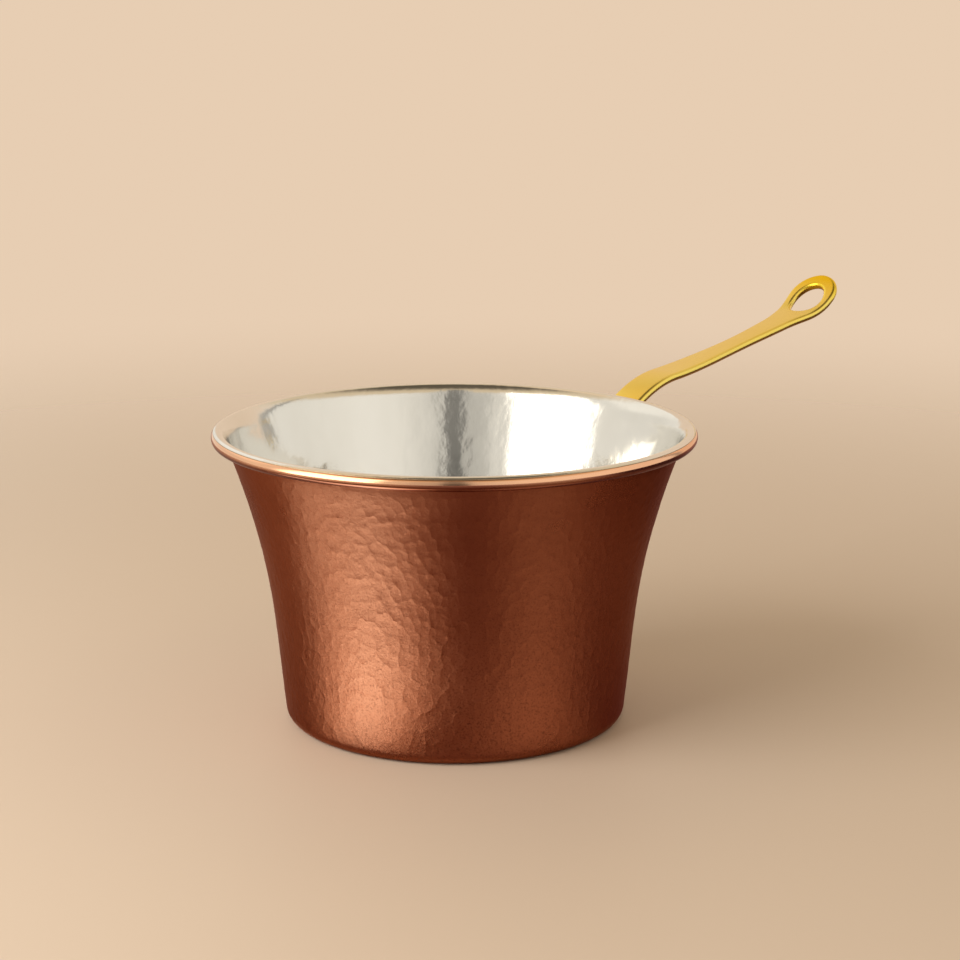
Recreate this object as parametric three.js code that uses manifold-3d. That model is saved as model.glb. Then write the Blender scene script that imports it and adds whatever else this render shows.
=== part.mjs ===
// Hammered copper polenta pot: a tinned copper vessel with a wired, rolled rim, and a long cast
// brass handle held by three copper rivets. Millimetres, +Z up. The origin is the centre of the
// base, on the surface that the pot stands on, and the handle runs out along +X.

import * as THREE from 'three';
import { mergeVertices } from 'three/addons/utils/BufferGeometryUtils.js';
import Module from 'manifold-3d';

const wasm = await Module();
wasm.setup();

// Vessel: heights are above the table, radii are to the outside of the copper
const rimRadius = 130;
const rimHeight = 156;
const beadRadius = 3.6;
const copperThickness = 1.2;
const footRadius = 92.7;
const cornerRadius = 6.5;
const lipOverhang = 9.7;
const lipDrop = 8;
const footFlare = 0.12;
const mouthFlare = 0.36;
const footReachShare = 0.354;
const mouthReachShare = 0.452;
const lipReachShare = 0.38;
const lipSlope = THREE.MathUtils.degToRad(45);

// Tin lining: a thin skin inside the copper that ends on the outer side of the rim
const tinThickness = 0.3;
const tinGap = 0.2;
const tinRollOver = THREE.MathUtils.degToRad(34);

// Rim wire, and the slit where the rolled copper ends
const wireGap = 0.3;
const curlSlit = 0.5;

// Handle: the path is its upper face, which lies on the wall and then turns out and up
const seatGap = 0.3;
const plateDrop = 44;
const plateLength = 54;
const plateWidth = 46;
const plateThickness = 4;
const plateWidestShare = 0.55;
const neckWidth = 21;
const neckThickness = 5.2;
const neckSwellShare = 0.4;
const neckReach = 31;
const strapStartReach = 48.5;
const strapStartRise = 11;
const strapStartAngle = THREE.MathUtils.degToRad(5);
const strapLength = 127.5;
const strapClimb = 21.5;
const strapEndAngle = THREE.MathUtils.degToRad(12);
const strapReachShare = 0.27;
const strapWaistWidth = 16.2;
const strapWaistShare = 0.55;
const strapEndWidth = 20.5;
const strapThickness = 4.3;
const eyeBendLength = 18.2;
const eyeAngle = THREE.MathUtils.degToRad(38);
const eyeStraight = 21.2;
const eyeWidth = 32.5;
const eyeNose = 18.3;
const eyeBlend = 40;
const eyeThickness = 5.2;
const eyeSideWall = 6.5;
const eyeTipWall = 9.6;
const holeLength = 26.5;
const edgeChamfer = 1.1;
const cutOverrun = 6;

// Rivets: copper, domed outside, flatter inside
const shankRadius = 2.6;
const shankGap = 0.3;
const outerHeadRadius = 5.6;
const outerHeadHeight = 2.6;
const innerHeadRadius = 5.4;
const innerHeadHeight = 1.5;
const headSeat = 0.3;
const upperRivetInset = 18;
const upperRivetSpacing = 27;
const lowerRivetInset = 13;

// A head's profile, from its rim to its crown, as shares of its radius and height
const domeShares = [[1, 0], [1, 0.3], [0.75, 0.78], [0.35, 1], [0, 1]];

// How finely round shapes are divided
const turns = 60;
const cornerSteps = 3;
const wallSteps = 8;
const lipSteps = 4;
const curlSteps = 11;
const wireSides = 8;
const rivetSides = 12;
const plateSteps = 8;
const neckSteps = 10;
const strapSteps = 10;
const bendSteps = 6;
const endStations = 6;
const middleStations = 34;
const holeSegments = 14;
const tipShare = 0.35;
const searchSteps = 40;

const copper = { color: 0xb8693f, metalness: 1, roughness: 0.35 };
const tin = { color: 0xd8d6cf, metalness: 1, roughness: 0.25 };
const iron = { color: 0x55524f, metalness: 1, roughness: 0.6 };
const brass = { color: 0xd9a63c, metalness: 1, roughness: 0.3 };

const cubic = (a, b, c, d) => new THREE.CubicBezierCurve(a, b, c, d);
const at = (x, y) => new THREE.Vector2(x, y);
const direction = (angle) => at(Math.cos(angle), Math.sin(angle));
const along = (start, heading, distance) => start.clone().addScaledVector(heading, distance);

// A cubic from one point and heading to another; each reach is how far its heading is held
function flow(start, startHeading, startReach, end, endHeading, endReach) {
  return cubic(start, along(start, startHeading, startReach), along(end, endHeading, -endReach), end);
}

function arcPoints(centre, radius, from, to, steps) {
  const points = [];
  for (let i = 0; i <= steps; i++) {
    points.push(along(centre, direction(from + ((to - from) * i) / steps), radius));
  }
  return points;
}

// Vessel's section, in radius and height, along the outer face of the copper
const footLean = Math.atan(footFlare);
const footCentre = at(footRadius - cornerRadius * Math.cos(footLean), cornerRadius);
const wallFoot = along(footCentre, direction(-footLean), cornerRadius);
const wallTop = at(rimRadius - lipOverhang, rimHeight - lipDrop);
const wallRise = wallTop.y - wallFoot.y;
const wallCurve = flow(wallFoot, at(footFlare, 1), wallRise * footReachShare,
  wallTop, at(mouthFlare, 1), wallRise * mouthReachShare);

const beadCentre = at(rimRadius - beadRadius, rimHeight);
const curlInside = beadRadius - copperThickness;
const curlStart = Math.PI / 2 + lipSlope;
const lipEnd = along(beadCentre, direction(curlStart), curlInside);
const lipReach = lipEnd.distanceTo(wallTop) * lipReachShare;
const lipCurve = flow(wallTop, at(mouthFlare, 1).normalize(), lipReach,
  lipEnd, direction(lipSlope), lipReach);

// The roll stops a slit short of the lip's underside
const slitAngle = (2 * curlSlit) / beadRadius;
const curlSweep = 2 * Math.PI - Math.acos(curlInside / beadRadius) - slitAngle;
const tinSweep = curlStart - Math.PI / 2 + tinRollOver;

// The lining stops part of the way round the roll, so the roll is divided there
const tinCurlSteps = Math.max(2, Math.round((curlSteps * tinSweep) / curlSweep));
const curlFront = arcPoints(beadCentre, curlInside, curlStart, curlStart - tinSweep, tinCurlSteps);
const curlBack = arcPoints(beadCentre, curlInside, curlStart - tinSweep, curlStart - curlSweep,
  curlSteps - tinCurlSteps);

const toTinEdge = [
  at(0, 0),
  ...arcPoints(footCentre, cornerRadius, -Math.PI / 2, -footLean, cornerSteps),
  ...wallCurve.getPoints(wallSteps).slice(1),
  ...lipCurve.getPoints(lipSteps).slice(1),
  ...curlFront.slice(1),
];
const wholePath = [...toTinEdge, ...curlBack.slice(1)];

// Moves a path to its left, which is into the vessel, over the lip and round the roll's outside
function offsetPath(path, distance) {
  return path.map((point, i) => {
    const before = path[Math.max(i - 1, 0)];
    const after = path[Math.min(i + 1, path.length - 1)];
    const inSpan = point.clone().sub(before).normalize();
    const outSpan = after.clone().sub(point).normalize();
    if (i === 0) inSpan.copy(outSpan);
    if (i === path.length - 1) outSpan.copy(inSpan);
    const bisector = inSpan.clone().add(outSpan).normalize();
    const left = at(-bisector.y, bisector.x);
    return along(point, left, distance / Math.max(bisector.dot(inSpan), Math.SQRT1_2));
  });
}

// A sheet between two offsets of a path, turned round the vessel's axis
function turnedSheet(path, near, far) {
  const low = offsetPath(path, near);
  const high = offsetPath(path, far).reverse();
  const outline = [...low, ...high];
  outline.forEach((point) => { point.x = Math.max(point.x, 0); });
  return turned(outline, turns);
}

// A closed profile of radius and height, turned round +Z
function turned(outline, segments) {
  const onAxis = outline[0].x === 0 && outline[outline.length - 1].x === 0;
  const loop = onAxis ? outline : [...outline, outline[0].clone()];
  const geometry = new THREE.LatheGeometry(loop, segments);
  geometry.rotateX(Math.PI / 2);
  return geometry;
}

function toSolid(geometry) {
  const bare = geometry.clone();
  bare.deleteAttribute('normal');
  bare.deleteAttribute('uv');
  const welded = mergeVertices(bare);
  const vertProperties = new Float32Array(welded.attributes.position.array);
  const corners = welded.index.array;
  const triVerts = [];
  for (let i = 0; i < corners.length; i += 3) {
    const [a, b, c] = [corners[i], corners[i + 1], corners[i + 2]];
    if (a !== b && b !== c && c !== a) triVerts.push(a, b, c);
  }
  const mesh = new wasm.Mesh({ numProp: 3, vertProperties, triVerts: new Uint32Array(triVerts) });
  return new wasm.Manifold(mesh);
}

function fromSolid(solid) {
  const { vertProperties, triVerts } = solid.getMesh();
  const geometry = new THREE.BufferGeometry();
  geometry.setAttribute('position', new THREE.BufferAttribute(new Float32Array(vertProperties), 3));
  geometry.setIndex(new THREE.BufferAttribute(new Uint32Array(triVerts), 1));
  const flat = geometry.toNonIndexed();
  flat.computeVertexNormals();
  return flat;
}

function cut(geometry, cutters) {
  return fromSolid(cutters.reduce((solid, cutter) => solid.subtract(toSolid(cutter)), toSolid(geometry)));
}

// The wall's outer face at a height: its radius, and its outward normal in radius and height
function wallAt(height) {
  let low = 0;
  let high = 1;
  for (let i = 0; i < searchSteps; i++) {
    const middle = (low + high) / 2;
    if (wallCurve.getPoint(middle).y < height) low = middle;
    else high = middle;
  }
  const tangent = wallCurve.getTangent(low);
  return { radius: wallCurve.getPoint(low).x, tangent, normal: at(tangent.y, -tangent.x) };
}

const plateTop = rimHeight - plateDrop;
const plateBottom = plateTop - plateLength;

// The handle's path: up the wall, out through the neck, along the strap, and up through the eye
function handlePath() {
  const plate = [];
  for (let i = 0; i <= plateSteps; i++) {
    const height = plateBottom + (plateLength * i) / plateSteps;
    const wall = wallAt(height);
    plate.push(along(at(wall.radius, height), wall.normal, seatGap));
  }
  const neckFoot = plate[plateSteps];
  const strapStart = at(rimRadius + strapStartReach, rimHeight + strapStartRise);
  const strapHeading = direction(strapStartAngle);
  const neck = flow(neckFoot, wallAt(plateTop).tangent, neckReach, strapStart, strapHeading, neckReach);
  const strapEnd = at(strapStart.x + strapLength, strapStart.y + strapClimb);
  const strapReach = strapLength * strapReachShare;
  const strap = flow(strapStart, strapHeading, strapReach, strapEnd, direction(strapEndAngle), strapReach);
  const eyeBend = [strapEnd];
  for (let i = 0; i < bendSteps; i++) {
    const angle = strapEndAngle + ((eyeAngle - strapEndAngle) * (i + 0.5)) / bendSteps;
    eyeBend.push(along(eyeBend[i], direction(angle), eyeBendLength / bendSteps));
  }
  const eyeEnd = along(eyeBend[bendSteps], direction(eyeAngle), eyeStraight);
  const points = [
    ...plate,
    ...neck.getPoints(neckSteps).slice(1),
    ...strap.getPoints(strapSteps).slice(1),
    ...eyeBend.slice(1),
    eyeEnd,
  ];
  const lengths = [0];
  for (let i = 1; i < points.length; i++) {
    lengths.push(lengths[i - 1] + points[i].distanceTo(points[i - 1]));
  }
  return {
    points,
    lengths,
    plateEnd: lengths[plateSteps],
    strapStart: lengths[plateSteps + neckSteps],
    strapEnd: lengths[plateSteps + neckSteps + strapSteps],
    total: lengths[lengths.length - 1],
  };
}

const path = handlePath();
const plateWidestAt = path.plateEnd * plateWidestShare;
const eyeMiddle = path.total - eyeNose;

// A point and heading at a distance along the handle's path
function pathAt(distance) {
  const { points, lengths } = path;
  let i = 1;
  while (i < points.length - 1 && lengths[i] < distance) i += 1;
  const share = (distance - lengths[i - 1]) / (lengths[i] - lengths[i - 1]);
  const point = points[i - 1].clone().lerp(points[i], share);
  const headingOf = (k) => {
    const a = points[Math.max(k - 1, 0)];
    const b = points[Math.min(k + 1, points.length - 1)];
    return b.clone().sub(a).normalize();
  };
  const heading = headingOf(i - 1).lerp(headingOf(i), share).normalize();
  return { point, heading, normal: at(-heading.y, heading.x) };
}

const smooth = (x) => THREE.MathUtils.smoothstep(x, 0, 1);

// A value that eases between stops, each a distance along the path and the value there
function eased(distance, stops) {
  let i = 1;
  while (i < stops.length - 1 && stops[i][0] < distance) i += 1;
  const [fromAt, from] = stops[i - 1];
  const [toAt, to] = stops[i];
  return THREE.MathUtils.lerp(from, to, smooth((distance - fromAt) / (toAt - fromAt)));
}

// Half-width of the handle: a round-ended plate, a waisted strap and an oval eye
function halfWidthAt(distance) {
  const waist = THREE.MathUtils.lerp(path.strapStart, path.strapEnd, strapWaistShare);
  const strapWidth = eased(distance, [
    [plateWidestAt, plateWidth],
    [path.plateEnd, neckWidth],
    [path.strapStart, neckWidth],
    [waist, strapWaistWidth],
    [path.strapEnd, strapEndWidth],
    [path.total, strapEndWidth],
  ]);
  const intoEye = smooth((distance - eyeMiddle + eyeBlend) / eyeBlend);
  const roundEnd = (share) => Math.sqrt(Math.max(0, 1 - share ** 2));
  if (distance < plateWidestAt) return (plateWidth / 2) * roundEnd(1 - distance / plateWidestAt);
  const nose = roundEnd(Math.max(0, (distance - eyeMiddle) / eyeNose));
  return (THREE.MathUtils.lerp(strapWidth, eyeWidth, intoEye) / 2) * nose;
}

function thicknessAt(distance) {
  return eased(distance, [
    [0, plateThickness],
    [path.plateEnd, plateThickness],
    [THREE.MathUtils.lerp(path.plateEnd, path.strapStart, neckSwellShare), neckThickness],
    [path.strapStart, strapThickness],
    [path.strapEnd, strapThickness],
    [eyeMiddle, eyeThickness],
    [path.total, eyeThickness],
  ]);
}

// One cross-section of the handle. Near the wall it is bent round the vessel, and further out flat
function handleSection(distance) {
  const { point, normal } = pathAt(distance);
  const half = halfWidthAt(distance);
  const thickness = thicknessAt(distance);
  const chamfer = Math.min(edgeChamfer, half / 2);
  const wrap = 1 - smooth((distance - path.plateEnd) / neckReach);
  const inner = half - chamfer;
  const across = [-inner, -inner / 2, 0, inner / 2, inner];
  const outline = [
    ...across.map((u) => [u, 0]),
    [half, chamfer],
    [half, thickness - chamfer],
    ...across.map((u) => [-u, thickness]),
    [-half, thickness - chamfer],
    [-half, chamfer],
  ];
  return outline.map(([u, depth]) => {
    const radius = point.x - normal.x * depth;
    const height = point.y - normal.y * depth;
    const turn = u / point.x;
    const flat = new THREE.Vector3(radius, u, height);
    const bent = new THREE.Vector3(radius * Math.cos(turn), radius * Math.sin(turn), height);
    return flat.lerp(bent, wrap);
  });
}

// Sections joined into one closed skin, with a flat cap at each end
function loft(sections) {
  const count = sections[0].length;
  const positions = sections.flat().flatMap((p) => [p.x, p.y, p.z]);
  const index = [];
  for (let i = 0; i < sections.length - 1; i++) {
    for (let j = 0; j < count; j++) {
      const a = i * count + j;
      const b = i * count + ((j + 1) % count);
      index.push(a, b + count, b, a, a + count, b + count);
    }
  }
  for (let j = 1; j < count - 1; j++) {
    const last = (sections.length - 1) * count;
    index.push(0, j, j + 1, last, last + j + 1, last + j);
  }
  const geometry = new THREE.BufferGeometry();
  geometry.setAttribute('position', new THREE.Float32BufferAttribute(positions, 3));
  geometry.setIndex(index);
  return geometry;
}

// Where the handle's sections are taken: close together round its two ends
function handleStations() {
  const stations = [];
  for (let i = 0; i < endStations; i++) {
    const turn = ((i + tipShare) / endStations) * (Math.PI / 2);
    stations.push(plateWidestAt * (1 - Math.cos(turn)));
  }
  for (let i = 0; i < middleStations; i++) {
    stations.push(THREE.MathUtils.lerp(plateWidestAt, eyeMiddle, i / middleStations));
  }
  for (let i = 0; i < endStations; i++) {
    const turn = ((i + 1 - tipShare) / endStations) * (Math.PI / 2);
    stations.push(eyeMiddle + eyeNose * Math.sin(turn));
  }
  return stations;
}

// The oval hole that the handle hangs by, cut square to the eye
function hangingHole() {
  const { point, heading, normal } = pathAt(path.total - eyeTipWall - holeLength / 2);
  const holeWidth = eyeWidth - 2 * eyeSideWall;
  const oval = new THREE.Shape();
  oval.absellipse(0, 0, holeLength / 2, holeWidth / 2, 0, 2 * Math.PI);
  const depth = eyeThickness + 2 * cutOverrun;
  const settings = { depth, bevelEnabled: false, curveSegments: holeSegments };
  const cutter = new THREE.ExtrudeGeometry(oval, settings);
  cutter.translate(0, 0, -depth / 2);
  const basis = new THREE.Matrix4().makeBasis(
    new THREE.Vector3(heading.x, 0, heading.y),
    new THREE.Vector3(0, 1, 0),
    new THREE.Vector3(normal.x, 0, normal.y),
  );
  const middle = along(point, normal, -eyeThickness / 2);
  basis.setPosition(middle.x, 0, middle.y);
  cutter.applyMatrix4(basis);
  return cutter;
}

// Where each rivet goes: the height of its axis at the wall, and its turn round the vessel
const upperRivetHeight = plateTop - upperRivetInset;
const lowerRivetHeight = plateBottom + lowerRivetInset;
const upperTurn = upperRivetSpacing / 2 / wallAt(upperRivetHeight).radius;
const rivetPlaces = {
  rivet_upper_left: { height: upperRivetHeight, turn: upperTurn },
  rivet_upper_right: { height: upperRivetHeight, turn: -upperTurn },
  rivet_lower: { height: lowerRivetHeight, turn: 0 },
};

// Turns a shape made along +Z, with zero at the wall's outer face, into a rivet's place
function placeAtWall(geometry, { height, turn }) {
  const { radius, normal } = wallAt(height);
  const out = new THREE.Vector3(normal.x, 0, normal.y);
  const rotation = new THREE.Matrix4().makeBasis(
    new THREE.Vector3(0, 1, 0).cross(out),
    new THREE.Vector3(0, 1, 0),
    out,
  );
  rotation.setPosition(radius, 0, height);
  geometry.applyMatrix4(rotation);
  geometry.rotateZ(turn);
  return geometry;
}

// A head lies on a curved face, so its flat side stands off by the rise of that face under it
const innerFace = copperThickness + tinGap + tinThickness;
const innerSag = innerHeadRadius ** 2 / (2 * (footRadius - innerFace));
const innerSeat = -(innerFace + innerSag + headSeat);
const outerSeat = seatGap + plateThickness + headSeat;

function rivet(place) {
  const dome = (radius, height, seat) => domeShares.map(
    ([out, up]) => at(radius * out, seat + height * up),
  );
  const outline = [
    ...dome(innerHeadRadius, -innerHeadHeight, innerSeat).reverse(),
    at(shankRadius, innerSeat),
    at(shankRadius, outerSeat),
    ...dome(outerHeadRadius, outerHeadHeight, outerSeat),
  ];
  return placeAtWall(turned(outline, rivetSides), place);
}

function rivetHole(place) {
  const radius = shankRadius + shankGap;
  const reach = outerSeat + outerHeadHeight - innerSeat;
  const hole = new THREE.CylinderGeometry(radius, radius, reach, rivetSides);
  hole.rotateX(Math.PI / 2);
  hole.translate(0, 0, (outerSeat + outerHeadHeight + innerSeat) / 2);
  return placeAtWall(hole, place);
}

const rivetHoles = Object.values(rivetPlaces).map(rivetHole);

function potBody() {
  return cut(turnedSheet(wholePath, 0, copperThickness), rivetHoles);
}

function tinLining() {
  const near = copperThickness + tinGap;
  return cut(turnedSheet(toTinEdge, near, near + tinThickness), rivetHoles);
}

function rimWire() {
  const ring = arcPoints(beadCentre, curlInside - wireGap, 0, 2 * Math.PI, wireSides).slice(0, -1);
  return turned(ring, turns);
}

function handle() {
  const skin = loft(handleStations().map(handleSection));
  return cut(skin, [hangingHole(), ...rivetHoles]);
}

function piece(name, geometry, finish) {
  const mesh = new THREE.Mesh(geometry, new THREE.MeshStandardMaterial(finish));
  mesh.name = name;
  return mesh;
}

const pot = new THREE.Group();
pot.add(piece('pot_body', potBody(), copper));
pot.add(piece('tin_lining', tinLining(), tin));
pot.add(piece('rim_wire', rimWire(), iron));
pot.add(piece('handle', handle(), brass));
for (const [name, place] of Object.entries(rivetPlaces)) pot.add(piece(name, rivet(place), copper));

export default pot;
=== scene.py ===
"""Hammered copper polenta pot with a tinned inside and a cast brass handle, on a pale floor."""

import math

import bmesh
import bpy
import numpy as np
from mathutils import Matrix, Vector, noise
from mathutils.kdtree import KDTree


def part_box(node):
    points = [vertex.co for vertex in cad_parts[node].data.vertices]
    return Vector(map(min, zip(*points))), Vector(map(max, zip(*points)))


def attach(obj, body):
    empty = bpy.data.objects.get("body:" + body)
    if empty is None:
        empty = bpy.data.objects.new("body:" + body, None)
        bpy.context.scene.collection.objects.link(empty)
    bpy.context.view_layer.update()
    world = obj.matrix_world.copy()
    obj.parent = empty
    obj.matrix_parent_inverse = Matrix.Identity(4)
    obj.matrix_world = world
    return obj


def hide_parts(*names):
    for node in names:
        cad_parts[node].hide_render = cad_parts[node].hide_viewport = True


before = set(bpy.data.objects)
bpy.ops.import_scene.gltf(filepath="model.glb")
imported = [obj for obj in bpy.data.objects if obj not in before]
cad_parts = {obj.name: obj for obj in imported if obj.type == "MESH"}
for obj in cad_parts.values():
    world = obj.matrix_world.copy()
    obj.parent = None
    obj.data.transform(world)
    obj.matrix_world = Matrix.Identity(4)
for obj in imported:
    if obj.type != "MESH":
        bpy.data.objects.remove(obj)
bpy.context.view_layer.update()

# Vessel sizes in metres: heights from the floor, radii to the outside of the copper
RIM_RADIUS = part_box("pot_body")[1].x
BEAD_RADIUS = 0.0036
RIM_HEIGHT = 0.156
COPPER = 0.0012
FOOT_RADIUS = 0.0927
CORNER_RADIUS = 0.0065
LIP_OVERHANG = 0.0097
LIP_DROP = 0.008
FOOT_FLARE = 0.12
MOUTH_FLARE = 0.36
FOOT_REACH_SHARE = 0.354
MOUTH_REACH_SHARE = 0.452
LIP_REACH_SHARE = 0.38
LIP_SLOPE = math.radians(45)
CURL_SLIT = 0.0001
# How far below and above the roll's middle its copper turns from dark brown to bright: painted shade
# below, painted light above
ROLL_SHADED_BELOW = 0.0012
ROLL_LIT_ABOVE = 0.0003
TIN_ROLL_OVER = math.radians(44)
TIN_GAP = 0.00005
TIN_THICKNESS = 0.00018

# Hammer marks on the copper, and the softer ones that show through the tin. They fade out at the
# wall's foot and under the lip.
MARK_PITCH = 0.0050
MARK_RISE = 0.000032
MARK_POWER = 2.6
MARK_JITTER = 0.40
MARK_DEPTH_SPREAD = 0.000004
MARK_SOFTNESS = 0.000001
NEAREST_MARKS = 4
MARK_TOP_PERCENTILE = 99
FOOT_FADE = 0.006
LIP_FADE = 0.012
DENT_SCALE = 60.0
DENT_DEPTH = 0.00007
INNER_PITCH = 0.0115
INNER_RISE = 0.00003
INNER_POWER = 2.6
INNER_SOFTNESS = 0.000006

# Handle sizes in metres: its path is the face that lies on the wall and then shows from above
SEAT_GAP = 0.0003
PLATE_DROP = 0.044
PLATE_LENGTH = 0.054
PLATE_WIDTH = 0.046
PLATE_THICKNESS = 0.004
PLATE_WIDEST_SHARE = 0.55
NECK_WIDTH = 0.021
NECK_THICKNESS = 0.0052
NECK_SWELL_SHARE = 0.4
NECK_REACH = 0.031
STRAP_START = (0.0485, 0.011)
STRAP_START_ANGLE = math.radians(5)
STRAP_RUN = (0.1275, 0.0215)
STRAP_END_ANGLE = math.radians(12)
STRAP_REACH_SHARE = 0.27
STRAP_WAIST_WIDTH = 0.0162
STRAP_WAIST_SHARE = 0.55
STRAP_END_WIDTH = 0.0205
STRAP_THICKNESS = 0.0050
EYE_BEND = 0.0182
EYE_ANGLE = math.radians(38)
EYE_STRAIGHT = 0.0212
EYE_WIDTH = 0.0325
EYE_NOSE = 0.0183
EYE_BLEND = 0.040
EYE_THICKNESS = 0.0052
EYE_SIDE_WALL = 0.0065
EYE_TIP_WALL = 0.0096
HOLE_LENGTH = 0.0265
EDGE_ROUND = 0.0020
CROWN = 0.0003

# Along X, where the brass turns to the deeper gold of the eye's end, a painted warm reflection
DEEP_GOLD_SHEEN_EDGE = (0.322, 0.336)

# Which part of a noise's values a material's tones and its roughness run over
TONE_RANGE = (0.35, 0.65)
GLOSS_RANGE = (0.3, 0.7)

# Rivets: the two upper ones stand side by side, the lower one in the middle. A head is its radius
# and its height, and the peening blows flatten it.
SHANK_RADIUS = 0.0026
OUTER_HEAD = (0.0056, 0.0026)
INNER_HEAD = (0.0054, 0.0015)
UPPER_RIVET_INSET = 0.018
UPPER_RIVET_SPACING = 0.027
LOWER_RIVET_INSET = 0.013
HEAD_SINK = 0.0002
DOME_FULLNESS = 0.8
PEEN_BLOWS = 6
PEEN_DEPTH = 0.0002
PEEN_FROM = 0.72
PEEN_EASE = 0.3

# Camera: where it stands, which way it faces, how far it looks down, and its lens in millimetres
CAMERA_PLACE = (-0.8393, -0.8152, 0.3940)
CAMERA_TURN = math.radians(-46.50)
CAMERA_PITCH = math.radians(12.729)
CAMERA_LENS = 83.39
CAMERA_SENSOR = 36.0

# Stage: a beige floor that fades into the surround. An edge in the surround is given by how far up
# the view points, or how near to an aimed bearing: 1 is straight up, or straight at the aim.
FLOOR_COLOUR = (0.65, 0.53, 0.42)
FLOOR_DARKER = 0.96
FLOOR_CLOUD_SCALE = 1.2
FLOOR_ROUGHNESS = 0.55
FLOOR_FADE = 0.20
FLOOR_END = 1.5
BACKDROP_COLOUR = (0.80, 0.615, 0.45)
BACKDROP_BEARING = 43.5
BACKDROP_EDGE = (0.2, 0.7)
BACKDROP_TOP = (0.50, 0.70)
STUDIO_COLOUR = (0.87, 0.815, 0.72)
HIGH_COLOUR = (0.72, 0.57, 0.38)
HIGH_EDGE = (0.50, 0.70)
OVERHEAD_COLOUR = (0.12, 0.095, 0.065)
OVERHEAD_EDGE = (0.79, 0.95)
WARM_COLOUR = (0.84, 0.635, 0.42)
WARM_AIM = (83.5, 55)
WARM_EDGE = (0.93, 0.99)

# Key light: a large softbox to the left of the camera, which the metal doesn't show. Its power is the
# factor times its radiance and its area.
LAMP_COLOUR = (1, 0.97, 0.93)
LAMP_DISTANCE = 1.35
KEY_BEARING = 165
KEY_ELEVATION = 30
KEY_SIZE = (1.1, 1.0)
KEY_RADIANCE = 3.8
LAMP_POWER_FACTOR = 4

# Studio wall, seen only in the metal. It fades out between two heights, which are greater in the dark
# gap. Each row has a bearing, and how bright the wall is there, low down and higher up.
WALL_COLOUR = (1, 0.94, 0.83)
WALL_DISTANCE = 1.9
WALL_TOP_EDGE = (1.5, 2.4)
GAP_TOP_EDGE = (2.8, 3.6)
GAP_BEARINGS = (211, 217, 231, 237)
WALL_SIDE_FADE = 2
WALL_LOW_EDGE = (0.55, 0.9)
WALL_SHADES = [
    (60, 0.88, 0.98), (88, 0.80, 0.98), (112, 0.80, 1.02), (126, 0.84, 0.84),
    (136, 0.86, 0.86), (147, 3.6, 3.3), (184, 3.6, 3.3), (191.5, 0.98, 0.98),
    (194.5, 0.78, 0.78), (202.5, 0.74, 0.74), (204.5, 0.60, 0.60), (217.5, 0.50, 0.54),
    (219.5, 0.05, 0.20), (229.5, 0.05, 0.20), (231, 0.55, 0.60), (237, 0.70, 0.72),
    (258, 0.90, 0.90), (285, 0.92, 0.92), (312, 0.88, 0.88), (341, 0.84, 0.84),
    (343, 0.60, 0.60), (345, 0.30, 0.30), (348, 0.30, 0.30), (350, 0.55, 0.55),
    (352, 0.60, 0.60),
]

# Table card on the floor, seen only in the metal. Each row has a bearing, how much the card hides
# there near the foot, beyond it and far out, and how bright it is far out.
TABLE_COLOUR = (0.18, 0.068, 0.065)
TABLE_HEIGHT = 0.0004
TABLE_RADII = (0.0935, 0.10, 0.12, 0.14, 0.16, 0.18, 0.20, 0.22, 0.24,
               0.27, 0.31, 0.36, 0.5, 0.8, 1.2, 1.6, 1.85)
TABLE_FOOT_EDGE = (0.13, 0.21)
TABLE_OUTER_EDGE = (0.28, 0.38)
TABLE_COVERS = [
    (0, 0.6, 0.5, 0.85, 1), (95, 0.6, 0.5, 0.60, 1), (120, 0.6, 0.5, 0.35, 1),
    (190, 0.6, 0.6, 0.35, 1), (215, 0.58, 0.65, 0.9, 1), (226, 0.55, 0.78, 0.9, 1),
    (238, 0.5, 0.78, 0.9, 1), (250, 0.25, 0.58, 0.6, 1), (262, 0.05, 0.3, 0.5, 1),
    (273, 0.1, 0.12, 0.5, 1), (288, 0.75, 0.4, 0.8, 1), (303, 0.9, 0.6, 1.0, 0.35),
    (340, 0.7, 0.54, 1.0, 0.35), (360, 0.6, 0.5, 0.85, 1),
]

# Bounce cards on the floor, seen only in the metal: a card's colour, its colour where it thins out,
# and rows of a distance from the axis, and there the middle bearing, half the turn and the brightness.
BOUNCE_HEIGHT = 0.0008
BOUNCE_INSIDE_FADE = 0.012
BOUNCE_OUTSIDE = 0.32
BOUNCE_OUTSIDE_FADE = 0.07
KEY_BOUNCE = ((0.66, 1.0, 1.14), (0.66, 0.60, 0.45), [
    (0.100, 186, 29, 5.2), (0.115, 186, 29, 5.4), (0.140, 185, 35, 6.2), (0.165, 186, 44, 7.5),
    (0.210, 176.5, 33.5, 5.8), (0.240, 153, 18.5, 5.1), (0.285, 148, 18, 3.2),
])
FILL_BOUNCE = ((1.0, 0.85, 0.68), None, [
    (0.100, 252, 30, 0.85), (0.130, 256, 30, 0.90), (0.165, 268, 30, 0.90),
    (0.210, 268, 30, 0.65), (0.240, 264, 30, 0.50),
])

# How finely the meshes are divided; the studio's and the table's steps are degrees of bearing
WALL_CURVE_STEPS = 400
COLUMNS = 880
BODY_LIP_STEPS = 6
WALL_STEPS = 160
HIDDEN_CURL_STEPS = 8
ROLL_STEPS = 28
TIN_COLUMNS = 640
TIN_BACK_STRIDE = 4
PATH_STEPS = 120
BEND_STEPS = 40
TIP_POINTS = 20
STRAP_COLUMNS = 22
STRAP_STEP = 0.0011
HEEL_POINTS = 30
OUTLINE_POINTS = 60
EYE_RINGS = 18
EYE_SPOKES = 150
DOME_POINTS = 14
RIVET_COLUMNS = 48
STUDIO_STEP = 0.5
STUDIO_ROWS = 19
TABLE_STEP = 3
BOUNCE_RINGS = 25
BOUNCE_SPOKES = 33

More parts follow.
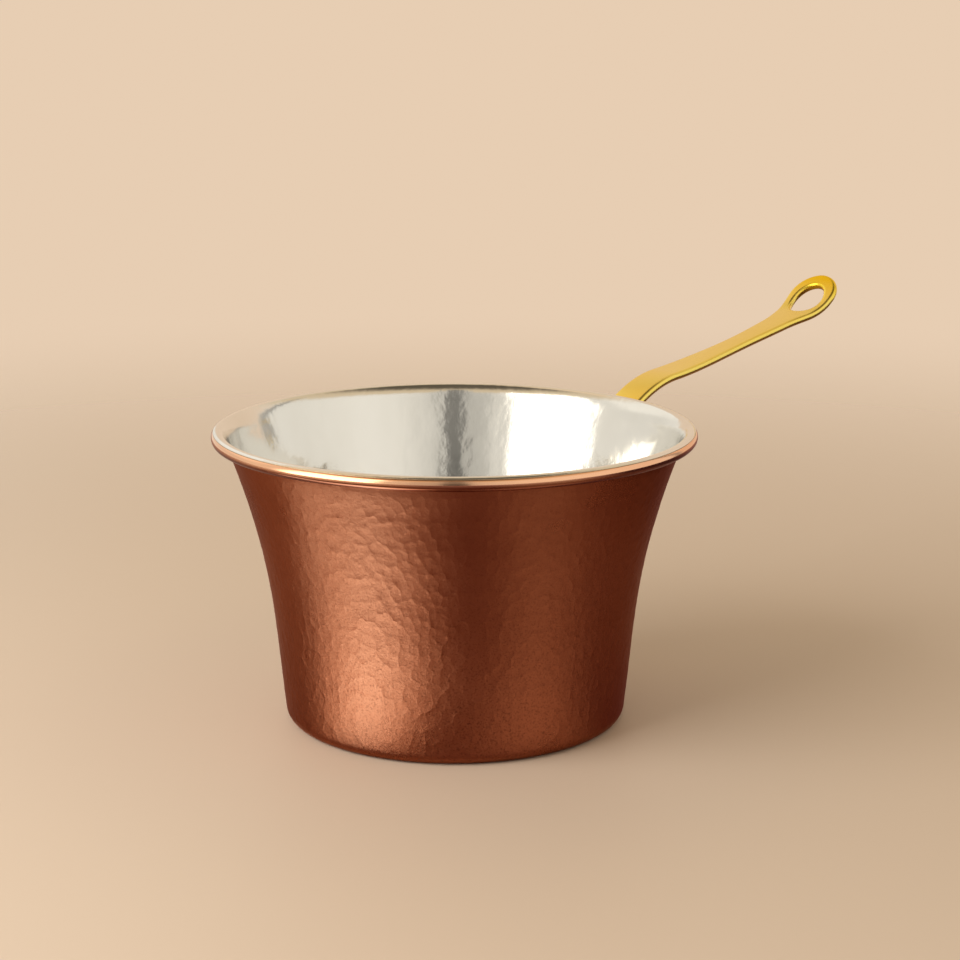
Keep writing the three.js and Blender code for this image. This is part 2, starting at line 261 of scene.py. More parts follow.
# Small amounts that the mesh code needs, and how many points it measures at a time
MERGE_DISTANCE = 0.00002
SEAT_TOLERANCE = 0.00001
LEAST_HALF_WIDTH = 0.000001
LEAST_RUN_SQUARED = 1e-18
EDGE_BLOCK = 500


# Plane geometry: points are (radius, height)

def unit(angle):
    return np.array([math.cos(angle), math.sin(angle)])


def normalised(vector):
    return np.asarray(vector, float) / np.linalg.norm(vector)


def flow(start, start_heading, start_reach, end, end_heading, end_reach, steps):
    """A cubic from one point and heading to another."""
    a, d = np.asarray(start, float), np.asarray(end, float)
    b = a + np.asarray(start_heading) * start_reach
    c = d - np.asarray(end_heading) * end_reach
    t = np.linspace(0, 1, steps + 1)[:, None]
    return a * (1 - t) ** 3 + 3 * b * t * (1 - t) ** 2 + 3 * c * t**2 * (1 - t) + d * t**3


def arc(centre, radius, start, end, steps):
    angles = np.linspace(start, end, steps + 1)
    return np.asarray(centre) + radius * np.stack([np.cos(angles), np.sin(angles)], axis=1)


def lengths_along(points):
    return np.concatenate([[0], np.cumsum(np.linalg.norm(np.diff(points, axis=0), axis=1))])


def resampled(points, steps):
    """The same line divided into equal lengths."""
    lengths = lengths_along(points)
    wanted = np.linspace(0, lengths[-1], steps + 1)
    return np.stack([np.interp(wanted, lengths, points[:, k]) for k in range(points.shape[1])], axis=1)


def left_normals(points):
    """Unit normals to the left of each point's heading."""
    heading = np.gradient(points, axis=0)
    heading /= np.linalg.norm(heading, axis=1, keepdims=True)
    return np.stack([-heading[:, 1], heading[:, 0]], axis=1)


def smooth(x):
    x = np.clip(x, 0, 1)
    return x * x * (3 - 2 * x)


# Vessel's section, along the outer face of the copper from the middle of the base to the roll's end

FOOT_LEAN = math.atan(FOOT_FLARE)
FOOT_CENTRE = np.array([FOOT_RADIUS - CORNER_RADIUS * math.cos(FOOT_LEAN), CORNER_RADIUS])
WALL_FOOT = FOOT_CENTRE + CORNER_RADIUS * unit(-FOOT_LEAN)
WALL_TOP = np.array([RIM_RADIUS - LIP_OVERHANG, RIM_HEIGHT - LIP_DROP])
BEAD_CENTRE = np.array([RIM_RADIUS - BEAD_RADIUS, RIM_HEIGHT])
CURL_INSIDE = BEAD_RADIUS - COPPER
CURL_START = math.pi / 2 + LIP_SLOPE
LIP_END = BEAD_CENTRE + CURL_INSIDE * unit(CURL_START)
CURL_SWEEP = 2 * math.pi - math.acos(CURL_INSIDE / BEAD_RADIUS) - 2 * CURL_SLIT / BEAD_RADIUS
TIN_SWEEP = CURL_START - math.pi / 2 + TIN_ROLL_OVER


def wall_curve():
    rise = WALL_TOP[1] - WALL_FOOT[1]
    return flow(WALL_FOOT, (FOOT_FLARE, 1), rise * FOOT_REACH_SHARE,
                WALL_TOP, (MOUTH_FLARE, 1), rise * MOUTH_REACH_SHARE, WALL_CURVE_STEPS)


def lip_curve(steps):
    reach = np.linalg.norm(LIP_END - WALL_TOP) * LIP_REACH_SHARE
    return flow(WALL_TOP, normalised((MOUTH_FLARE, 1)), reach, LIP_END, unit(LIP_SLOPE), reach, steps)


def vessel_path(base_steps, corner_steps, wall_steps, lip_steps, curl_steps, sweep):
    """Outer face of the copper, and where along it the wall starts and ends."""
    base = np.linspace((0, 0), (FOOT_CENTRE[0], 0), base_steps + 1)
    corner = arc(FOOT_CENTRE, CORNER_RADIUS, -math.pi / 2, -FOOT_LEAN, corner_steps)
    wall = resampled(wall_curve(), wall_steps)
    lip = lip_curve(lip_steps)
    curl = arc(BEAD_CENTRE, CURL_INSIDE, CURL_START, CURL_START - sweep, curl_steps)
    runs = [base, corner[1:], wall[1:], lip[1:], curl[1:]]
    wall_from = len(base) + len(corner) - 2
    return np.concatenate(runs), wall_from, wall_from + wall_steps


def wall_at(height):
    """The wall's outer face at a height: its radius and its outward normal."""
    curve = wall_curve()
    out = -left_normals(curve)
    pick = lambda values: np.interp(height, curve[:, 1], values)
    return pick(curve[:, 0]), np.array([pick(out[:, 0]), pick(out[:, 1])])


# Meshes

def mesh_object(name, points, faces, materials, face_slots=None):
    mesh = bpy.data.meshes.new(name)
    mesh.from_pydata(points.tolist(), [], faces)
    for material in materials:
        mesh.materials.append(material)
    if face_slots is not None:
        mesh.polygons.foreach_set("material_index", np.asarray(face_slots, np.int32))
    mesh.polygons.foreach_set("use_smooth", np.ones(len(mesh.polygons), bool))
    mesh.update()
    piece = bpy.data.objects.new(name, mesh)
    bpy.context.scene.collection.objects.link(piece)
    return piece


def turned_points(profile, columns):
    """Rows of points, one row for each profile point, turned round the axis."""
    turn = np.linspace(0, 2 * math.pi, columns, endpoint=False)
    x = profile[:, :1] * np.cos(turn)
    y = profile[:, :1] * np.sin(turn)
    z = np.repeat(profile[:, 1:], columns, axis=1)
    return np.stack([x, y, z], axis=2)


def ring_faces(rows, columns, closed):
    """Quads between neighbouring rows, and from the last row to the first if the loop is closed."""
    faces = []
    for i in range(rows if closed else rows - 1):
        low, high = i * columns, ((i + 1) % rows) * columns
        for j in range(columns):
            k = (j + 1) % columns
            faces.append((low + j, low + k, high + k, high + j))
    return faces


def capped_skin(grid):
    """One closed skin from rows of points; the first and last row each close on their middle."""
    rows, columns, _ = grid.shape
    points = grid.reshape(-1, 3)
    faces = ring_faces(rows, columns, closed=False)
    first, last = len(points), len(points) + 1
    points = np.concatenate([points, grid[0].mean(axis=0)[None], grid[-1].mean(axis=0)[None]])
    end = (rows - 1) * columns
    for j in range(columns):
        k = (j + 1) % columns
        faces.append((first, k, j))
        faces.append((last, end + j, end + k))
    return points, faces


def face_rows(faces, columns):
    """The row of points that each quad of a capped skin starts from; its end caps count as row 0."""
    return np.array([face[0] if len(face) == 4 else 0 for face in faces]) // columns


# Hammer marks

def mark_places(profile, pitch, rng):
    """Where the hammer fell, in rings round the wall, each a little off its place."""
    lengths = lengths_along(profile)
    rings = int(lengths[-1] / pitch)
    places = []
    for ring in range(rings + 1):
        middle = (ring + 0.5) * pitch
        radius = np.interp(middle, lengths, profile[:, 0])
        count = max(3, round(2 * math.pi * radius / pitch))
        start = rng.random()
        for i in range(count):
            along = middle + rng.uniform(-1, 1) * pitch * MARK_JITTER
            turn = 2 * math.pi * (i + start + rng.uniform(-1, 1) * MARK_JITTER) / count
            r = np.interp(along, lengths, profile[:, 0])
            z = np.interp(along, lengths, profile[:, 1])
            places.append((r * math.cos(turn), r * math.sin(turn), z))
    return places


def hammered(points, places, pitch, rise, power, depth_spread, softness, rng):
    """Height of the surface where blows overlap: flat in the middle of each, steep at its edge."""
    tree = KDTree(len(places))
    depths = rng.uniform(-1, 1, len(places)) * depth_spread
    for i, place in enumerate(places):
        tree.insert(place, i)
    tree.balance()
    bowls = np.empty((len(points), NEAREST_MARKS))
    for n, point in enumerate(points.tolist()):
        found = tree.find_n(point, NEAREST_MARKS)
        bowls[n] = [depths[i] + rise * (2 * away / pitch) ** power for _, i, away in found]
    lowest = bowls.min(axis=1)
    return lowest - softness * np.log(np.exp((lowest[:, None] - bowls) / softness).sum(axis=1))


def mark_fade(wall):
    """1 along the wall's rows, easing to 0 at its foot and under the lip."""
    lengths = lengths_along(wall)
    return (smooth(lengths / FOOT_FADE) * smooth((lengths[-1] - lengths) / LIP_FADE))[:, None]


def dented(points, scale, depth):
    """A slow unevenness of the sheet."""
    return np.array([noise.noise(Vector(point) * scale) for point in points.tolist()]) * depth


# Materials

class Nodes:
    """A node tree and short calls that add to it."""

    def __init__(self, tree, coordinates):
        self.tree = tree
        self.place = self.add("ShaderNodeTexCoord").outputs[coordinates]

    def add(self, kind, **settings):
        node = self.tree.nodes.new(kind)
        for key, value in settings.items():
            setattr(node, key, value)
        return node

    def connect(self, source, target):
        self.tree.links.new(source, target)

    def feed(self, value, socket):
        """Sets a plain number or colour on the socket itself, and connects anything else."""
        if isinstance(value, tuple):
            socket.default_value = (*value, 1)
        elif isinstance(value, (int, float)):
            socket.default_value = value
        else:
            self.connect(value, socket)

    def coordinate(self, axis):
        split = self.add("ShaderNodeSeparateXYZ")
        self.connect(self.place, split.inputs[0])
        return split.outputs[axis]

    def ramp(self, value, low, high, start=0.0, end=1.0, eased=False):
        """Maps value from start..end to low..high, held at both ends."""
        node = self.add("ShaderNodeMapRange", interpolation_type="SMOOTHSTEP" if eased else "LINEAR")
        node.inputs["From Min"].default_value = start
        node.inputs["From Max"].default_value = end
        node.inputs["To Min"].default_value = low
        node.inputs["To Max"].default_value = high
        self.connect(value, node.inputs["Value"])
        return node.outputs["Result"]

    def mix(self, share, first, second):
        node = self.add("ShaderNodeMix", data_type="RGBA")
        self.connect(share, node.inputs["Factor"])
        self.feed(first, node.inputs[6])
        self.feed(second, node.inputs[7])
        return node.outputs[2]

    def maths(self, operation, first, second):
        node = self.add("ShaderNodeMath", operation=operation)
        self.feed(first, node.inputs[0])
        self.feed(second, node.inputs[1])
        return node.outputs[0]


class Shader(Nodes):
    """A material and short calls that add its nodes."""

    def __init__(self, name):
        self.material = bpy.data.materials.new(name)
        self.material.use_nodes = True
        super().__init__(self.material.node_tree, "Object")
        self.surface = self.tree.nodes["Principled BSDF"]

    def set(self, **values):
        for key, value in values.items():
            self.surface.inputs[key.replace("_", " ").title()].default_value = value

    def stretched(self, scale):
        mapping = self.add("ShaderNodeMapping")
        mapping.inputs["Scale"].default_value = scale
        self.connect(self.place, mapping.inputs["Vector"])
        return mapping.outputs["Vector"]

    def noise(self, scale, detail=3.0, roughness=0.5, place=None):
        node = self.add("ShaderNodeTexNoise")
        node.inputs["Scale"].default_value = scale
        node.inputs["Detail"].default_value = detail
        node.inputs["Roughness"].default_value = roughness
        self.connect(place or self.place, node.inputs["Vector"])
        return node.outputs["Fac"]

    def cells(self, scale, smoothness, place=None):
        node = self.add("ShaderNodeTexVoronoi", feature="SMOOTH_F1")
        node.inputs["Scale"].default_value = scale
        node.inputs["Smoothness"].default_value = smoothness
        self.connect(place or self.place, node.inputs["Vector"])
        return node.outputs["Distance"]

    def attribute(self, name):
        return self.add("ShaderNodeAttribute", attribute_name=name).outputs["Fac"]

    def bump(self, height, depth, strength=1.0, under=None):
        node = self.add("ShaderNodeBump")
        node.inputs["Strength"].default_value = strength
        node.inputs["Distance"].default_value = depth
        self.connect(height, node.inputs["Height"])
        if under is not None:
            self.connect(under, node.inputs["Normal"])
        return node.outputs["Normal"]

    def finish(self, colour, roughness=None, normal=None):
        for value, name in ((colour, "Base Color"), (roughness, "Roughness"), (normal, "Normal")):
            if value is not None:
                self.connect(value, self.surface.inputs[name])
        return self.material

    def output_mix(self, share, first, second):
        """Makes the material's output a mix of two shaders."""
        join = self.add("ShaderNodeMixShader")
        for source, socket in zip((share, first, second), join.inputs):
            self.connect(source, socket)
        self.connect(join.outputs[0], self.tree.nodes["Material Output"].inputs[0])


def metal(name):
    s = Shader(name)
    s.set(metallic=1.0)
    return s


def hammered_copper():
    """Dark brown copper, dirtier towards the foot, with fine crests and grit between the marks."""
    s = metal("hammered_copper")
    s.set(specular_tint=(0.85, 0.60, 0.52, 1))
    cloudy = s.noise(16, detail=4)
    tone = s.mix(s.ramp(cloudy, 0, 1, *TONE_RANGE), (0.265, 0.075, 0.035), (0.305, 0.092, 0.044))
    towards_foot = s.ramp(s.coordinate("Z"), 1.0, 0.35, 0.015, 0.12)
    specks = s.ramp(s.noise(900, detail=3, roughness=0.7), 0, 1, 0.50, 0.72)
    colour = s.mix(s.maths("MULTIPLY", specks, towards_foot), tone, (0.13, 0.033, 0.015))
    worn = s.ramp(cloudy, 0.26, 0.33, *GLOSS_RANGE)
    roughness = s.maths("ADD", worn, s.maths("MULTIPLY", specks, 0.06))
    crests = s.maths("POWER", s.cells(225, 0.06, s.stretched((1, 1, 0.75))), 3)
    crest_height = s.ramp(s.coordinate("Z"), 1.7, 0.8, 0.04, 0.12)
    crests = s.bump(s.maths("MULTIPLY", crests, crest_height), depth=0.00018)
    grit = s.maths("MULTIPLY", s.noise(700, detail=5, roughness=0.75), towards_foot)
    return s.finish(colour, roughness, s.bump(grit, depth=0.0004, strength=0.7, under=crests))


def rolled_copper():
    """The roll, bright copper on top and as brown as the wall underneath lower down: painted light
    above the roll's middle and painted shade below it.
    """
    s = metal("rolled_copper")
    cloudy = s.noise(30, detail=4)
    bright = s.mix(s.ramp(cloudy, 0, 1, *TONE_RANGE), (0.93, 0.515, 0.310), (0.96, 0.555, 0.345))
    # Painted light and shade: the roll's copper is bright above its middle and dark brown below it
    worn = s.ramp(s.coordinate("Z"), 0, 1,
                  RIM_HEIGHT - ROLL_SHADED_BELOW, RIM_HEIGHT + ROLL_LIT_ABOVE)
    colour = s.mix(worn, (0.24, 0.066, 0.030), bright)
    roughness = s.ramp(cloudy, 0.10, 0.16, *GLOSS_RANGE)
    grain = s.bump(s.noise(700, detail=2), depth=0.00004, strength=0.3)
    return s.finish(colour, roughness, grain)


def wiped_tin():
    """The tin inside, with the streaks and waves that wiping it on left."""
    s = metal("wiped_tin")
    streaks = s.noise(22, detail=4, place=s.stretched((1, 1, 0.25)))
    colour = s.mix(s.ramp(streaks, 0, 1, *TONE_RANGE), (0.82, 0.805, 0.765), (0.88, 0.87, 0.84))
    roughness = s.ramp(streaks, 0.11, 0.17, *GLOSS_RANGE)
    waves = s.bump(s.noise(90, detail=3, place=s.stretched((1, 1, 0.7))), depth=0.0008, strength=0.35)
    grain = s.bump(s.noise(800, detail=2), depth=0.00004, strength=0.3, under=waves)
    return s.finish(colour, roughness, grain)


def smooth_tin():
    """The tin on the rivets' inner heads."""
    s = metal("smooth_tin")
    cloudy = s.noise(40, detail=4)
    colour = s.mix(s.ramp(cloudy, 0, 1, *TONE_RANGE), (0.76, 0.735, 0.685), (0.86, 0.84, 0.80))
    roughness = s.ramp(cloudy, 0.20, 0.28, *GLOSS_RANGE)
    grain = s.bump(s.noise(500, detail=2), depth=0.00005, strength=0.3)
    return s.finish(colour, roughness, grain)


def tarnish_and_dark_reflection():
    """The thin line where the tin ends on the copper, dark olive: part tarnish and part painted dark
    reflection.
    """
    s = metal("tarnish_and_dark_reflection")
    # Part tarnish, part painted dark reflection: the tin's end is coloured a dark olive
    colour = s.mix(s.noise(300, detail=2), (0.42, 0.34, 0.22), (0.58, 0.48, 0.34))
    roughness = s.ramp(s.noise(200), 0.3, 0.5)
    return s.finish(colour, roughness)


def cast_brass():
    """Brass brushed along the handle, with a slightly uneven cast face and a deeper gold end, a painted
    warm reflection.
    """
    s = metal("cast_brass")
    cloudy = s.noise(26, detail=4)
    colour = s.mix(s.ramp(cloudy, 0, 1, *TONE_RANGE), (0.97, 0.74, 0.15), (0.985, 0.785, 0.185))
    # Painted reflection: towards the eye's end the brass turns a deeper gold, for the warm surround it
    # mirrors
    colour = s.mix(s.ramp(s.coordinate("X"), 0, 1, *DEEP_GOLD_SHEEN_EDGE), colour, (0.95, 0.66, 0.014))
    brushed = s.noise(500, detail=3, place=s.stretched((0.06, 1, 1)))
    worn = s.ramp(cloudy, 0.22, 0.27, *GLOSS_RANGE)
    roughness = s.maths("ADD", worn, s.ramp(brushed, -0.02, 0.03, *GLOSS_RANGE))
    waves = s.bump(s.noise(60, detail=2), depth=0.0004, strength=0.12)
    lines = s.bump(brushed, depth=0.00003, strength=0.25, under=waves)
    return s.finish(colour, roughness, lines)


def peened_copper():
    s = metal("peened_copper")
    cloudy = s.noise(120, detail=4)
    colour = s.mix(s.ramp(cloudy, 0, 1, *TONE_RANGE), (0.46, 0.150, 0.080), (0.58, 0.220, 0.125))
    roughness = s.ramp(cloudy, 0.30, 0.42, *GLOSS_RANGE)
    facets = s.bump(s.cells(420, 0.15), depth=0.0006, strength=0.35)
    return s.finish(colour, roughness, facets)


def iron_wire():
    s = metal("iron_wire")
    cloudy = s.noise(150, detail=4)
    colour = s.mix(cloudy, (0.10, 0.095, 0.09), (0.20, 0.18, 0.16))
    return s.finish(colour, s.ramp(cloudy, 0.45, 0.7))


# Vessel

def pot_body(hammer, roll):
    """The copper sheet: hammered outside, smooth on the base, the lip's underside and the roll."""
    rng = np.random.default_rng(11)
    path, wall_from, wall_to = vessel_path(
        base_steps=3, corner_steps=6, wall_steps=WALL_STEPS, lip_steps=BODY_LIP_STEPS,
        curl_steps=HIDDEN_CURL_STEPS, sweep=CURL_SWEEP)
    inner_path, _, _ = vessel_path(
        base_steps=1, corner_steps=2, wall_steps=6, lip_steps=2, curl_steps=ROLL_STEPS,
        sweep=CURL_SWEEP)
    outer_points = turned_points(path, COLUMNS)
    out = turned_points(-left_normals(path), COLUMNS)
    wall = path[wall_from : wall_to + 1]
    places = mark_places(wall, MARK_PITCH, rng)
    marked = outer_points[wall_from : wall_to + 1]
    flat = marked.reshape(-1, 3)
    marks = hammered(flat, places, MARK_PITCH, MARK_RISE, MARK_POWER,
                     MARK_DEPTH_SPREAD, MARK_SOFTNESS, rng)
    marks += dented(flat, DENT_SCALE, DENT_DEPTH)
    marks -= np.percentile(marks, MARK_TOP_PERCENTILE)
    marks = marks.reshape(marked.shape[:2]) * mark_fade(wall)
    marked += out[wall_from : wall_to + 1] * marks[:, :, None]
    inner = inner_path + left_normals(inner_path) * COPPER
    inner[:, 0] = np.maximum(inner[:, 0], 0)
    points, faces = capped_skin(
        np.concatenate([outer_points[1:], turned_points(inner[:0:-1], COLUMNS)]))
    row = face_rows(faces, COLUMNS)
    lip_end = wall_to + BODY_LIP_STEPS
    slots = np.where((row + 1 >= lip_end) & (row < len(path) - 1 + ROLL_STEPS), 1, 0)
    return mesh_object("pot_shell", points, faces, [hammer, roll], slots)


def tin_lining(tin, edge):
    """The tin: a skin on the inside that runs over the lip and ends on the roll."""
    rng = np.random.default_rng(23)
    path, wall_from, wall_to = vessel_path(
        base_steps=10, corner_steps=6, wall_steps=96, lip_steps=12, curl_steps=18,
        sweep=TIN_SWEEP)
    inward = left_normals(path)
    inward[0] = (0, 1)
    under = path + inward * (COPPER + TIN_GAP)
    face = path + inward * (COPPER + TIN_GAP + TIN_THICKNESS)
    edge_round = face[-1:] * 0.5 + under[-1:] * 0.5
    back = under[::-TIN_BACK_STRIDE]
    face_points = turned_points(face, TIN_COLUMNS)
    normals = turned_points(inward, TIN_COLUMNS)
    wall = face[wall_from : wall_to + 1]
    places = mark_places(wall, INNER_PITCH, rng)
    marked = face_points[wall_from : wall_to + 1]
    waves = hammered(marked.reshape(-1, 3), places, INNER_PITCH, INNER_RISE, INNER_POWER,
                     0, INNER_SOFTNESS, rng)
    waves = (waves - waves.min()).reshape(marked.shape[:2]) * mark_fade(wall)
    marked += normals[wall_from : wall_to + 1] * waves[:, :, None]
    grid = np.concatenate([face_points[1:], turned_points(edge_round, TIN_COLUMNS),
                           turned_points(back[:-1], TIN_COLUMNS)])
    points, faces = capped_skin(grid[::-1])
    row = len(grid) - 1 - face_rows(faces, TIN_COLUMNS)
    slots = np.where((row >= len(face) - 2) & (row <= len(face) + 1), 1, 0)
    return mesh_object("tin_skin", points, faces, [tin, edge], slots)


# Handle

class HandlePath:
    """The handle's upper face in the plane through the pot's axis, by distance from the plate's end."""

    def __init__(self):
        top = RIM_HEIGHT - PLATE_DROP
        wall = wall_curve()
        out = -left_normals(wall)
        heights = np.linspace(top - PLATE_LENGTH, top, PATH_STEPS)
        seat = wall + out * SEAT_GAP
        plate = np.stack([np.interp(heights, wall[:, 1], seat[:, k]) for k in (0, 1)], axis=1)
        foot_heading = normalised(plate[-1] - plate[-2])
        start = np.array([RIM_RADIUS + STRAP_START[0], RIM_HEIGHT + STRAP_START[1]])
        end = start + STRAP_RUN
        neck = flow(plate[-1], foot_heading, NECK_REACH,
                    start, unit(STRAP_START_ANGLE), NECK_REACH, PATH_STEPS)
        reach = STRAP_RUN[0] * STRAP_REACH_SHARE
        strap = flow(start, unit(STRAP_START_ANGLE), reach,
                     end, unit(STRAP_END_ANGLE), reach, PATH_STEPS)
        bend = [end]
        for i in range(BEND_STEPS):
            angle = STRAP_END_ANGLE + (EYE_ANGLE - STRAP_END_ANGLE) * (i + 0.5) / BEND_STEPS
            bend.append(bend[-1] + unit(angle) * EYE_BEND / BEND_STEPS)
        tip = bend[-1] + unit(EYE_ANGLE) * EYE_STRAIGHT
        straight = np.linspace(bend[-1], tip, TIP_POINTS)
        self.points = np.concatenate([plate, neck[1:], strap[1:], bend[1:], straight[1:]])
        self.lengths = lengths_along(self.points)
        self.normals = left_normals(self.points)
        self.total = self.lengths[-1]
        marks = np.cumsum([len(plate) - 1, len(neck) - 1, len(strap) - 1])
        self.plate_end, self.strap_start, self.strap_end = self.lengths[marks]
        self.widest = self.plate_end * PLATE_WIDEST_SHARE
        self.eye_middle = self.total - EYE_NOSE
        self.hole_middle = self.total - EYE_TIP_WALL - HOLE_LENGTH / 2

    def at(self, distance):
        pick = lambda values: np.interp(distance, self.lengths, values)
        point = np.stack([pick(self.points[:, 0]), pick(self.points[:, 1])], axis=-1)
        normal = np.stack([pick(self.normals[:, 0]), pick(self.normals[:, 1])], axis=-1)
        return point, normal

    def half_width(self, distance):
        waist = self.strap_start + (self.strap_end - self.strap_start) * STRAP_WAIST_SHARE
        strap = eased(distance, [
            (self.widest, PLATE_WIDTH),
            (self.plate_end, NECK_WIDTH),
            (self.strap_start, NECK_WIDTH),
            (waist, STRAP_WAIST_WIDTH),
            (self.strap_end, STRAP_END_WIDTH),
            (self.total, STRAP_END_WIDTH),
        ])
        into_eye = smooth((distance - self.eye_middle + EYE_BLEND) / EYE_BLEND)
        width = strap + (EYE_WIDTH - strap) * into_eye
        nose = np.clip((distance - self.eye_middle) / EYE_NOSE, 0, 1)
        heel = np.clip(1 - distance / self.widest, 0, 1)
        return width / 2 * np.sqrt(1 - nose**2) * np.sqrt(1 - heel**2)

    def thickness(self, distance):
        swell = self.plate_end + (self.strap_start - self.plate_end) * NECK_SWELL_SHARE
        return eased(distance, [
            (0, PLATE_THICKNESS),
            (self.plate_end, PLATE_THICKNESS),
            (swell, NECK_THICKNESS),
            (self.strap_start, STRAP_THICKNESS),
            (self.strap_end, STRAP_THICKNESS),
            (self.eye_middle, EYE_THICKNESS),
            (self.total, EYE_THICKNESS),
        ])


def eased(distance, stops):
    """A value that eases from stop to stop, each a distance and the value there."""
    distance = np.asarray(distance, float)
    value = np.full(distance.shape, float(stops[0][1]))
    for (start, low), (end, high) in zip(stops, stops[1:]):
        value += (high - low) * smooth((distance - start) / (end - start))
    return value


def cosine_steps(count):
    """From 0 to 1, closer together at both ends."""
    return (1 - np.cos(np.linspace(0, math.pi, count + 1))) / 2


def handle_plan(path):
    """The handle laid flat, as quads of (distance, across): a strap, and spokes round the hole."""
    joint = path.hole_middle - HOLE_LENGTH / 2 - EYE_SIDE_WALL
    heel = path.widest * (1 - np.cos(np.linspace(0, math.pi / 2, HEEL_POINTS)[1:]))
    middle = np.linspace(path.widest, joint, int((joint - path.widest) / STRAP_STEP))
    rows = np.concatenate([heel, middle[1:]])
    across = 2 * cosine_steps(STRAP_COLUMNS) - 1
    strap = np.stack([np.repeat(rows[:, None], len(across), axis=1),
                      path.half_width(rows)[:, None] * across], axis=2)
    outline = eye_outline(path, joint)
    start = strap[-1]
    hole = (HOLE_LENGTH / 2, EYE_WIDTH / 2 - EYE_SIDE_WALL)
    spokes = np.concatenate([start, outline[1:-1]])
    turn = np.arctan2(spokes[:, 1] / hole[1], (spokes[:, 0] - path.hole_middle) / hole[0])
    rim = np.stack([path.hole_middle + hole[0] * np.cos(turn), hole[1] * np.sin(turn)], axis=1)
    share = cosine_steps(EYE_RINGS)[:, None, None]
    rings = spokes * (1 - share) + rim * share
    return strap, rings


def eye_outline(path, joint):
    """Outer edge of the eye from the joint's far corner round the tip to its near corner."""
    nose = np.linspace(0, math.pi / 2, OUTLINE_POINTS)
    straight = np.linspace(joint, path.eye_middle, OUTLINE_POINTS)[:-1]
    distance = np.concatenate([straight, path.eye_middle + EYE_NOSE * np.sin(nose)])
    side = np.stack([distance, path.half_width(distance)], axis=1)
    loop = np.concatenate([side, (side * (1, -1))[-2::-1]])
    return resampled(loop, EYE_SPOKES)


def edge_distance(points, edges):
    """How far each point lies from the nearest edge."""
    best = np.full(len(points), np.inf)
    for edge in edges:
        a, b = edge[:-1], edge[1:]
        run = b - a
        size = np.maximum((run**2).sum(axis=1), LEAST_RUN_SQUARED)
        for k in range(0, len(points), EDGE_BLOCK):
            part = points[k : k + EDGE_BLOCK, None]
            t = np.clip(((part - a) * run).sum(axis=2) / size, 0, 1)
            gap = np.linalg.norm(part - (a + run * t[:, :, None]), axis=2).min(axis=1)
            best[k : k + EDGE_BLOCK] = np.minimum(best[k : k + EDGE_BLOCK], gap)
    return best


def plan_mesh(strap, rings):
    """The flat handle's points and quads, and the numbers of the points round it and its hole."""
    rows, columns = strap.shape[:2]
    ring_count, spokes = rings.shape[:2]
    strap_id = np.arange(rows * columns).reshape(rows, columns)
    inner_id = strap_id.size + np.arange((ring_count - 1) * spokes).reshape(ring_count - 1, spokes)
    outline_id = strap_id.size + inner_id.size + np.arange(spokes - columns)
    ring_id = np.concatenate([np.concatenate([strap_id[-1], outline_id])[None], inner_id])
    plan = np.concatenate([strap.reshape(-1, 2), rings[1:].reshape(-1, 2), rings[0, columns:]])
    across, around = strap_id.tolist(), ring_id.tolist()
    quads = [(across[i][j], across[i + 1][j], across[i + 1][j + 1], across[i][j + 1])
             for i in range(rows - 1) for j in range(columns - 1)]
    quads += [(around[i][j], around[i + 1][j], around[i + 1][k], around[i][k])
              for i in range(ring_count - 1) for j, k in zip(range(spokes), [*range(1, spokes), 0])]
    outer = np.concatenate([strap_id[:, -1], outline_id, strap_id[::-1, 0]])
    return plan, quads, outer, ring_id[-1]


def handle(brass):
    """The cast handle: plate on the wall, neck, strap and eye, with rounded edges all round."""
    path = HandlePath()
    plan, quads, outer, hole = plan_mesh(*handle_plan(path))
    inset = edge_distance(plan, [plan[outer], plan[np.append(hole, hole[0])]])
    distance = plan[:, 0]
    thick = path.thickness(distance)
    rounding = np.minimum(EDGE_ROUND, thick / 2)
    shoulder = np.clip(rounding - inset, 0, rounding)
    drop = rounding - np.sqrt(np.maximum(rounding**2 - shoulder**2, 0))
    half = np.maximum(path.half_width(distance), LEAST_HALF_WIDTH)
    crown = CROWN * np.clip(plan[:, 1] / half, -1, 1) ** 2
    crown = crown * smooth((distance - path.plate_end) / NECK_REACH)
    top = placed(path, plan, drop + crown)
    bottom = placed(path, plan, thick - drop - crown)
    count = len(plan)
    faces = quads + [tuple(corner + count for corner in quad[::-1]) for quad in quads]
    faces += side_faces(outer.tolist(), count) + side_faces(hole[::-1].tolist(), count)
    piece = mesh_object("handle_casting", np.concatenate([top, bottom]), faces, [brass])
    tidy_mesh(piece)
    return piece


def side_faces(loop, count):
    """The edge wall between the upper and the lower skin."""
    return [(a, a + count, b + count, b) for a, b in zip(loop, loop[1:] + loop[:1])]


def placed(path, plan, depth):
    """Puts flat places on the handle's path, bent round the vessel where the handle lies on it."""
    point, normal = path.at(plan[:, 0])
    across = plan[:, 1]
    radius = point[:, 0] - normal[:, 0] * depth
    height = point[:, 1] - normal[:, 1] * depth
    wrap = 1 - smooth((plan[:, 0] - path.plate_end) / NECK_REACH)
    turn = across / point[:, 0]
    x = radius + (radius * np.cos(turn) - radius) * wrap
    y = across + (radius * np.sin(turn) - across) * wrap
    return np.stack([x, y, height], axis=1)


def tidy_mesh(piece):
    """Joins points that coincide, and turns all faces outwards."""
    work = bmesh.new()
    work.from_mesh(piece.data)
    bmesh.ops.remove_doubles(work, verts=work.verts, dist=MERGE_DISTANCE)
    bmesh.ops.recalc_face_normals(work, faces=work.faces)
    work.to_mesh(piece.data)
    work.free()


# Rivets

